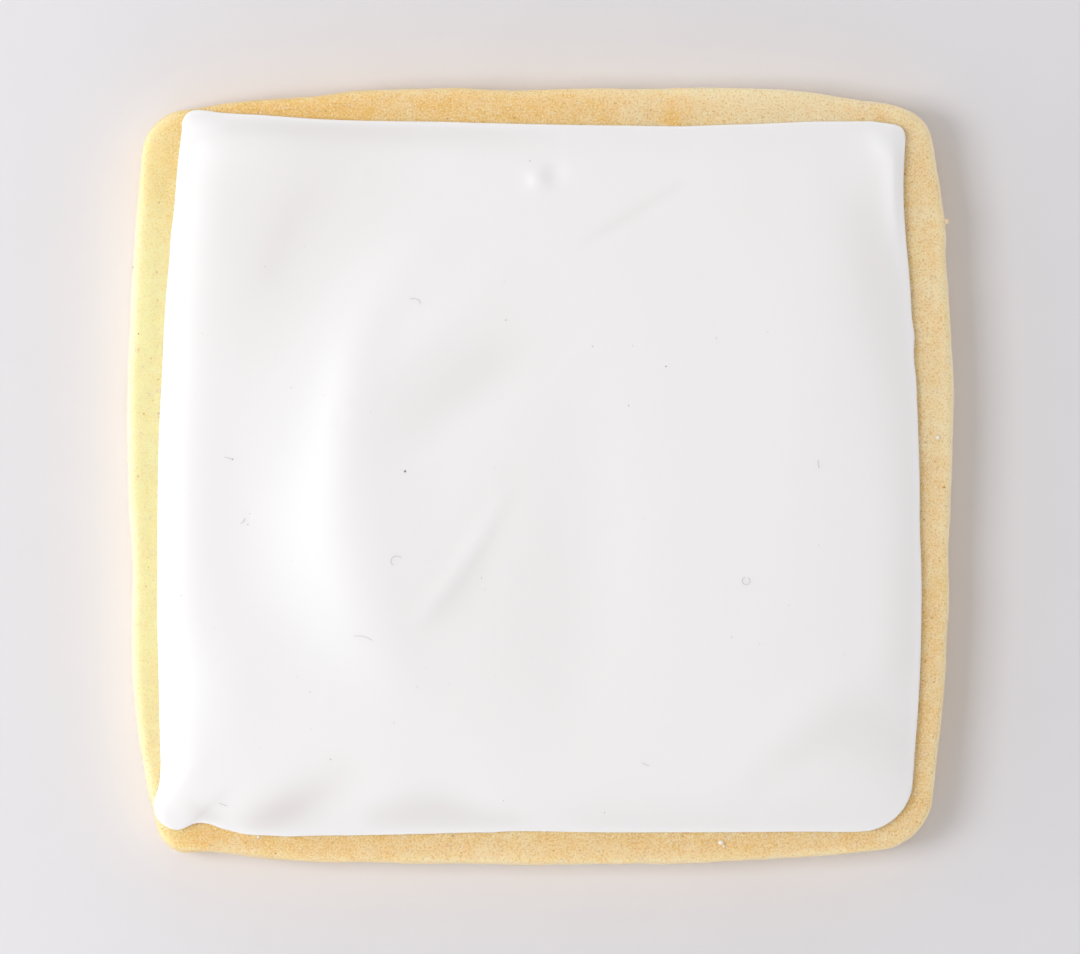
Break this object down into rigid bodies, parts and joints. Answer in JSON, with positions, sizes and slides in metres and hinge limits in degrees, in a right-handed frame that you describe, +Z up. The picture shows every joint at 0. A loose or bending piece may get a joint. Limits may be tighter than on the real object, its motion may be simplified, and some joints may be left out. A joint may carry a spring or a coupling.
{
  "type": "iced sugar cookie",
  "caption": "Square baked cookie with bowed sides and rounded corners, its top covered to a narrow rim by one sheet of smooth white icing.",
  "frame": {"origin": "middle of the bottom face, under the centre of the outline", "axes": "+Z up out of the iced face, +X along the wider side, +Y towards the back"},
  "size_m": [0.0826, 0.0778, 0.0082],
  "materials": {
    "baked_dough": "baked sugar dough, pale gold, sandy and matte",
    "white_icing": "dried royal icing, smooth, white, satin"
  },
  "bodies": {
    "root": {"cookie": "baked_dough", "icing": "white_icing"}
  },
  "joints": []
}
